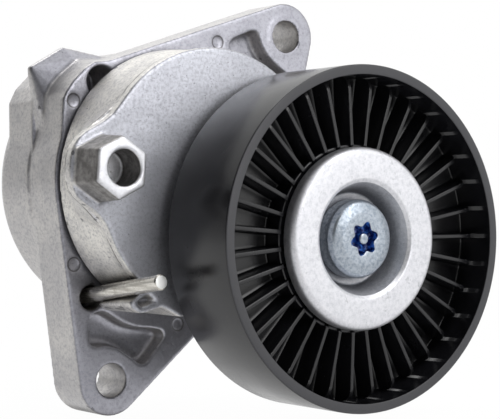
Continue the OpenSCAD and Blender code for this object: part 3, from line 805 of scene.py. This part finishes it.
def spring():
    """Round wire wound up a helix, its ends cut square."""
    lo, hi = span("torsion_spring")
    turns, steps, sides = 5.5, 72, 20
    wire = 2.6
    mean = radii("torsion_spring", PIVOT)[1] - wire
    t = np.linspace(0, 1, int(turns * steps) + 1)
    a = 2 * np.pi * turns * t
    z = lo[2] + wire + (hi[2] - lo[2] - 2 * wire) * t
    b = np.linspace(0, 2 * np.pi, sides, endpoint=False)
    r = mean + wire * np.cos(b)[:, None]
    body = np.stack([r * np.cos(a), r * np.sin(a), z + wire * np.sin(b)[:, None]], -1)
    first, last = body[:, :1].mean(0)[None], body[:, -1:].mean(0)[None]
    body = np.concatenate([np.repeat(first, sides, 0), body, np.repeat(last, sides, 0)], 1)
    ob = build("torsion_spring_wound", body, grid_faces(sides, body.shape[1], False))
    return adopt(ob, "torsion_spring", "spring_steel")


def shaft():
    """The pivot shaft: riveted head behind the cup, and a staked end in front."""
    lo, hi = span("pivot_shaft")
    head = radii("pivot_shaft", PIVOT)[1]
    plate_lo, plate_hi = span("pivot_end_plate")
    cup = span("base_housing")[0][2]
    body = radii("base_housing", PIVOT)[0]
    spigot = radii("pivot_end_plate", PIVOT)[0]
    path = rounded([(0, lo[2], 0), (head, lo[2], 0.5), (head, cup, 0.2), (body, cup, 0.2),
                    (body, plate_lo[2], 0.2), (spigot, plate_lo[2], 0.1),
                    (spigot, plate_hi[2], 0), (spigot + 1.1, plate_hi[2], 0.3),
                    (spigot - 0.2, hi[2], 0.7), (1.2, hi[2], 0.5), (0.6, hi[2] - 0.5, 0.2),
                    (0, hi[2] - 0.5, 0)], False, 5)
    return lathe("pivot_shaft", "machined_steel", path, PIVOT, 128, False)


def race(node, inner_side):
    """A bearing ring with its ball groove, which is round the outside of the inner ring."""
    pitch, groove = 14.25, 3.42
    lo, hi = span(node)
    back, front, mid = lo[2], hi[2], (lo[2] + hi[2]) / 2
    r0, r1 = radii(node, PULLEY)
    grooved, smooth, sign = (r1, r0, -1) if inner_side else (r0, r1, 1)
    reach = math.acos(abs(pitch - grooved) / groove)
    arc = [(pitch + sign * groove * math.cos(t), mid + groove * math.sin(t))
           for t in np.linspace(-reach, reach, 17)]
    path = rounded([(grooved, front - 1, 0), (grooved, front, 0.3), (smooth, front, 0.4),
                    (smooth, back, 0.4), (grooved, back, 0.3), (grooved, back + 1, 0)],
                   False)
    return lathe(node, "bearing_steel", np.array([*path, *arc]), PULLEY)


wheel()
cap()
bolt()
pin()
spring()
shaft()
race("bearing_inner_ring", True)
race("bearing_outer_ring", False)
LUG_HOLE = LUG[:2] + (0.7, 0)
LUG_MOUTH, BOLT_HOLE_MOUTH = 5.6, 5.4
cast_skin("arm_casting", "cast_arm", 0.34, 1, arm_flow, [(LUG_HOLE, LUG_MOUTH)])
cast_skin("base_housing", "cast_base", 0.36, 2, base_flow,
          [(mount(name)[:2], BOLT_HOLE_MOUTH)
           for name in ("bolt_hole_upper", "bolt_hole_lower")])

ring("pivot_end_plate", "plate_steel", edge=0.5)
for name in ("rear_thrust_washer", "front_thrust_washer"):
    ring(name, "washer_plastic", edge=0.15)
ring("damper_band", "friction_plastic")
ring("dust_ring", "dust_ring_rubber")
for name in ("rear_spring_seat", "front_spring_seat", "spring_sleeve"):
    ring(name, "seat_plastic")
ring("pivot_bush", "bush_bronze")
ring("bearing_sleeve", "machined_steel", PULLEY)
for name in ("front_seal", "rear_seal"):
    ring(name, "seal_rubber", PULLEY)

# These pieces keep the CAD's own meshes.
KEPT = {"rear_shield": "plated_sheet", "bearing_cage": "cage_plastic",
        **{f"ball_{i}": "ball_steel" for i in range(1, 9)}}
for name, slot in KEPT.items():
    part = frame["nodes"][name]
    if not part.data.materials:
        part.data.materials.append(FINISH[slot])
    part.material_slots[0].material = FINISH[slot]


# ---------------------------------------------------------------- floor, light, camera

def floor(height):
    """A pale round floor that runs out into the white of the surroundings."""
    bpy.ops.mesh.primitive_circle_add(vertices=96, radius=6, fill_type="NGON",
                                      location=(0, 0, height))
    ob = bpy.context.object
    ob.name = "floor"
    made = bpy.data.materials.new("floor")
    made.use_nodes = True
    tree = made.node_tree
    tree.nodes.clear()
    new, link = tree.nodes.new, tree.links.new
    place = new("ShaderNodeTexCoord")
    far = new("ShaderNodeVectorMath")
    far.operation = "LENGTH"
    fade = new("ShaderNodeMapRange")
    fade.interpolation_type = "SMOOTHSTEP"
    for key, value in (("From Min", 0.05), ("From Max", 0.22), ("To Min", 0.98)):
        fade.inputs[key].default_value = value
    matt, glow = new("ShaderNodeBsdfDiffuse"), new("ShaderNodeEmission")
    matt.inputs["Color"].default_value = (0.9, 0.9, 0.9, 1)
    glow.inputs["Strength"].default_value = 1.0
    mix, out = new("ShaderNodeMixShader"), new("ShaderNodeOutputMaterial")
    link(place.outputs["Object"], far.inputs[0])
    link(far.outputs["Value"], fade.inputs["Value"])
    link(fade.outputs[0], mix.inputs[0])
    link(matt.outputs[0], mix.inputs[1])
    link(glow.outputs[0], mix.inputs[2])
    link(mix.outputs[0], out.inputs[0])
    ob.data.materials.append(made)
    ob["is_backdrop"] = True


def surroundings():
    """White seen directly; as light, brightest overhead and dimmer from the front left."""
    world = bpy.data.worlds.new("studio")
    bpy.context.scene.world = world
    world.use_nodes = True
    tree = world.node_tree
    tree.nodes.clear()
    new, link = tree.nodes.new, tree.links.new
    way = new("ShaderNodeTexCoord")
    dot = new("ShaderNodeVectorMath")
    dot.operation = "DOT_PRODUCT"
    dot.inputs[1].default_value = Vector((0.55, 0.62, 0.56)).normalized()
    level = new("ShaderNodeMapRange")
    level.interpolation_type = "SMOOTHSTEP"
    for key, value in (("From Min", -0.35), ("From Max", 1.0), ("To Min", 0.03),
                       ("To Max", 1.6)):
        level.inputs[key].default_value = value
    seen, lit = new("ShaderNodeBackground"), new("ShaderNodeBackground")
    seen.inputs["Strength"].default_value = 1.0
    seen.inputs["Color"].default_value = (1, 1, 1, 1)
    path, mix, out = (new("ShaderNodeLightPath"), new("ShaderNodeMixShader"),
                      new("ShaderNodeOutputWorld"))
    link(way.outputs["Generated"], dot.inputs[0])
    link(dot.outputs["Value"], level.inputs["Value"])
    link(level.outputs[0], lit.inputs["Strength"])
    link(path.outputs["Is Camera Ray"], mix.inputs[0])
    link(lit.outputs[0], mix.inputs[1])
    link(seen.outputs[0], mix.inputs[2])
    link(mix.outputs[0], out.inputs[0])


def softbox(name, way, distance, size, power):
    """A square area light that faces the object from a direction."""
    light = bpy.data.lights.new(name, "AREA")
    light.shape, light.size, light.energy = "SQUARE", size, power
    ob = bpy.data.objects.new(name, light)
    aim = Vector(way).normalized()
    ob.location = aim * distance
    ob.rotation_euler = aim.to_track_quat("Z", "Y").to_euler()
    bpy.context.scene.collection.objects.link(ob)


FLOOR_GAP = 0.0002
floor(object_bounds()[0][2] - FLOOR_GAP)
surroundings()
softbox("front_right", (0.62, -0.78, 0.08), distance=0.9, size=0.80, power=1.8)
softbox("front_top", (0.25, -0.62, 0.74), distance=0.9, size=0.50, power=2.6)
softbox("front", (0.25, -1.0, 0.35), distance=0.9, size=0.50, power=2.0)
softbox("overhead", (0.0, 0.35, 1.0), distance=0.8, size=0.40, power=1.6)

focus = Vector(to_row([*PULLEY, span("pulley_wheel")[1][2]]))
FROM_PULLEY_FACE = Vector((-0.2635, -0.3177, 0.0076))
YAW = math.radians(-35.38)
camera = bpy.data.cameras.new("camera")
camera.sensor_width = 36
camera.lens = 115.2
view = bpy.data.objects.new("camera", camera)
view.location = focus + FROM_PULLEY_FACE
view.rotation_euler = (math.radians(90), 0, YAW)
bpy.context.scene.collection.objects.link(view)
bpy.context.scene.camera = view
bpy.context.scene.view_settings.view_transform = "Standard"
